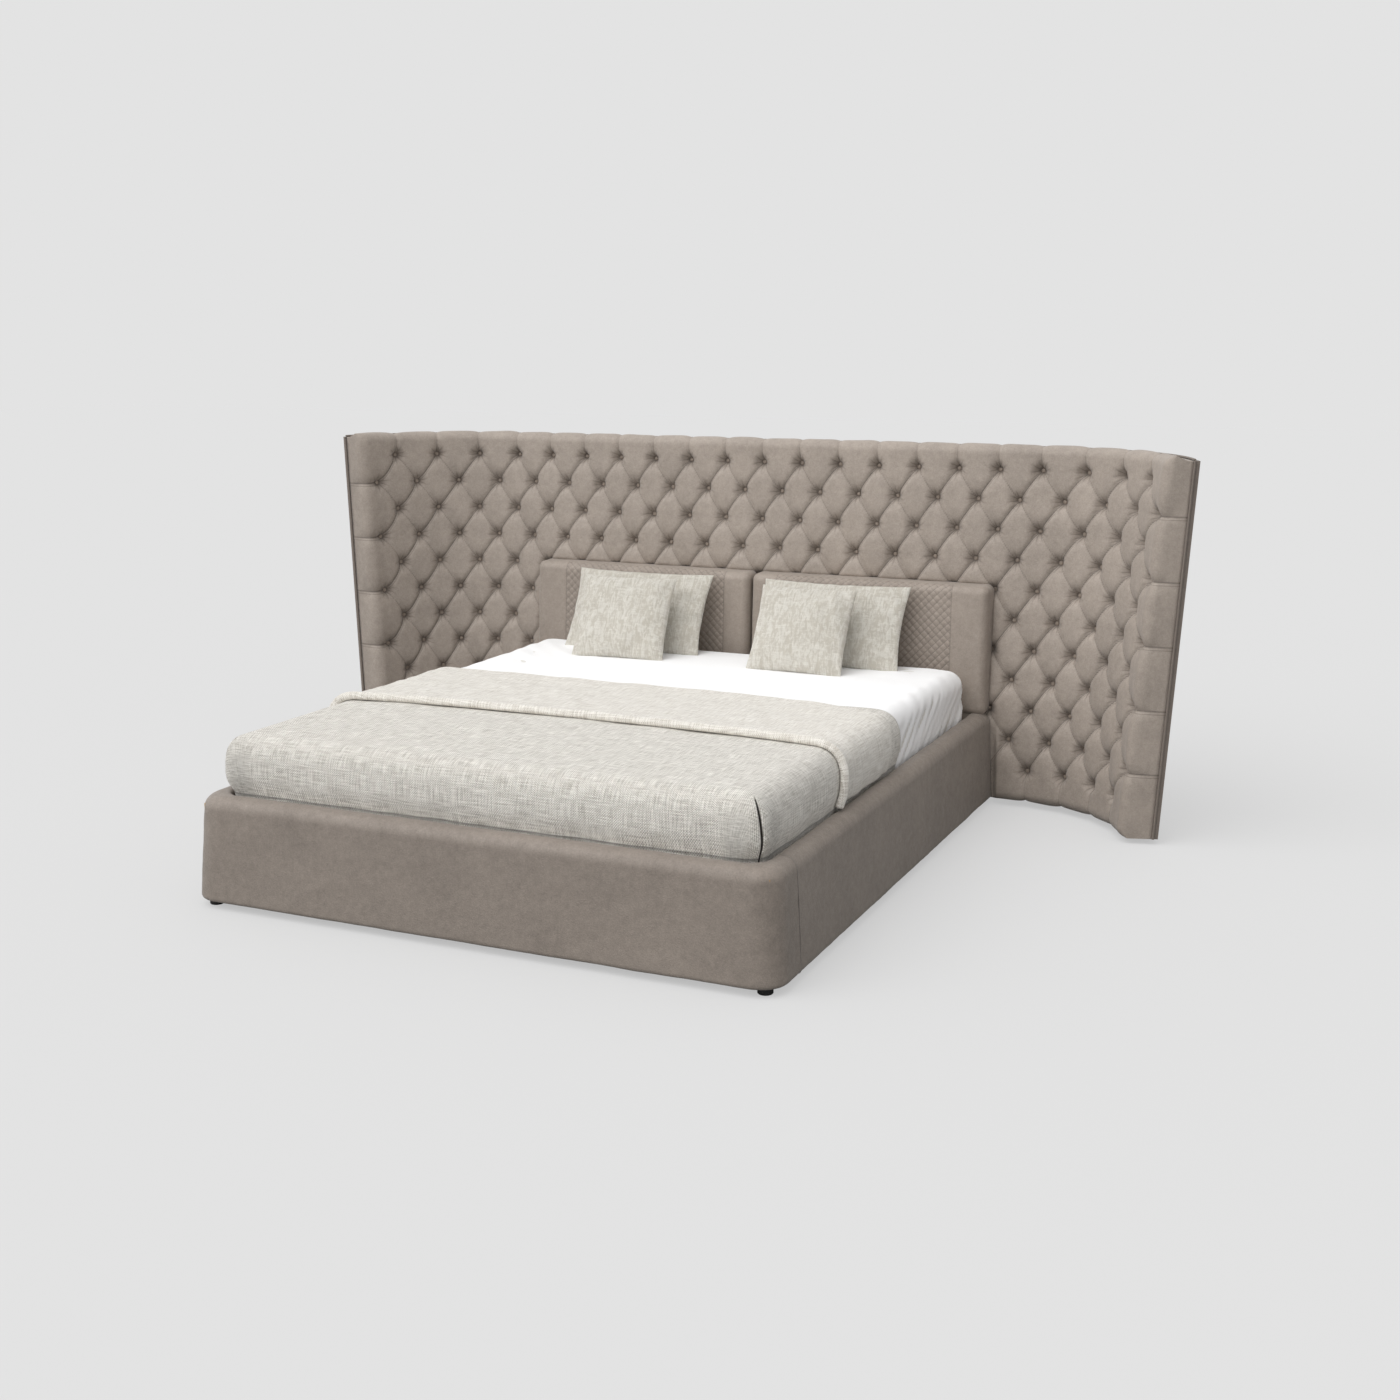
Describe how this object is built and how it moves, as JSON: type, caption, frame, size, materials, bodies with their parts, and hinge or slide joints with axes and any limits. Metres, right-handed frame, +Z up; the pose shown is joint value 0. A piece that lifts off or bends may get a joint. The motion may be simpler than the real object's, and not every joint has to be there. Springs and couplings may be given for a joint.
{
  "type": "upholstered bed",
  "caption": "Double bed with a padded leather base, two low quilted headrests and a very wide, winged, deep-buttoned headboard, with mattress, coverlet and pillows.",
  "frame": {"origin": "middle of the whole bed's footprint, on the floor", "axes": "+X to the right seen from the foot end, +Y from the foot towards the headboard, +Z up"},
  "size_m": [3.5326, 2.4433, 1.3683],
  "materials": {
    "base_leather": "semi-matte",
    "headrest_leather": "semi-matte",
    "headboard_leather": "semi-matte",
    "back_leather": "semi-matte",
    "frame_timber": "planed",
    "plywood": "sanded",
    "slat_birch": "satin",
    "glide_plastic": "matte",
    "bolt_steel": "zinc plated",
    "mattress_ticking": "woven",
    "sheet_cotton": "percale",
    "coverlet_weave": "coarse linen weave",
    "turnback_weave": "coarse linen weave, striped",
    "pillow_jacquard": "mottled jacquard"
  },
  "bodies": {
    "bed": {"base_foot_front_left": "glide_plastic", "base_foot_front_right": "glide_plastic", "base_foot_rear_left": "glide_plastic", "base_foot_rear_right": "glide_plastic", "base_pad_foot": "base_leather", "base_pad_left": "base_leather", "base_pad_right": "base_leather", "beam_leg": "glide_plastic", "centre_beam": "frame_timber", "corner_blocks": "frame_timber", "edge_piping": "headboard_leather", "foot_rail": "frame_timber", "head_rail": "frame_timber", "headboard_back_panel_centre": "back_leather", "headboard_back_panel_left": "back_leather", "headboard_back_panel_right": "back_leather", "headboard_board_centre": "plywood", "headboard_board_left": "plywood", "headboard_board_right": "plywood", "headboard_foot_centre_left": "glide_plastic", "headboard_foot_centre_right": "glide_plastic", "headboard_foot_wing_left": "glide_plastic", "headboard_foot_wing_right": "glide_plastic", "headboard_frame_centre": "frame_timber", "headboard_frame_left": "frame_timber", "headboard_frame_right": "frame_timber", "headboard_pad_centre": "headboard_leather", "headboard_pad_left": "headboard_leather", "headboard_pad_right": "headboard_leather", "headrest_core_left": "plywood", "headrest_core_right": "plywood", "headrest_dowels": "slat_birch", "headrest_pad_left": "headrest_leather", "headrest_pad_right": "headrest_leather", "joining_bolts": "bolt_steel", "joining_spacers": "frame_timber", "side_rail_left": "frame_timber", "side_rail_right": "frame_timber", "slat_01": "slat_birch", "slat_02": "slat_birch", "slat_03": "slat_birch", "slat_04": "slat_birch", "slat_05": "slat_birch", "slat_06": "slat_birch", "slat_07": "slat_birch", "slat_08": "slat_birch", "slat_09": "slat_birch", "slat_10": "slat_birch", "slat_11": "slat_birch", "slat_ledge_left": "frame_timber", "slat_ledge_right": "frame_timber", "tuft_buttons": "headboard_leather"},
    "bedding": {"mattress": "mattress_ticking", "fitted_sheet": "sheet_cotton", "coverlet": "coverlet_weave", "coverlet_turnback": "turnback_weave"},
    "pillow_back_left_body": {"pillow_back_left": "pillow_jacquard"},
    "pillow_back_right_body": {"pillow_back_right": "pillow_jacquard"},
    "pillow_front_left_body": {"pillow_front_left": "pillow_jacquard"},
    "pillow_front_right_body": {"pillow_front_right": "pillow_jacquard"}
  },
  "joints": [
    {"name": "mattress_lift_out", "type": "slide", "parent": "bed", "child": "bedding", "axis": [0, 0, 1], "range_m": [0, 0.3]},
    {"name": "pillow_back_left_lift_off", "type": "slide", "parent": "bedding", "child": "pillow_back_left_body", "axis": [0, 0, 1], "range_m": [0, 0.25]},
    {"name": "pillow_front_left_lift_off", "type": "slide", "parent": "pillow_back_left_body", "child": "pillow_front_left_body", "axis": [0, 0, 1], "range_m": [0, 0.25]},
    {"name": "pillow_back_right_lift_off", "type": "slide", "parent": "bedding", "child": "pillow_back_right_body", "axis": [0, 0, 1], "range_m": [0, 0.25]},
    {"name": "pillow_front_right_lift_off", "type": "slide", "parent": "pillow_back_right_body", "child": "pillow_front_right_body", "axis": [0, 0, 1], "range_m": [0, 0.25]}
  ]
}
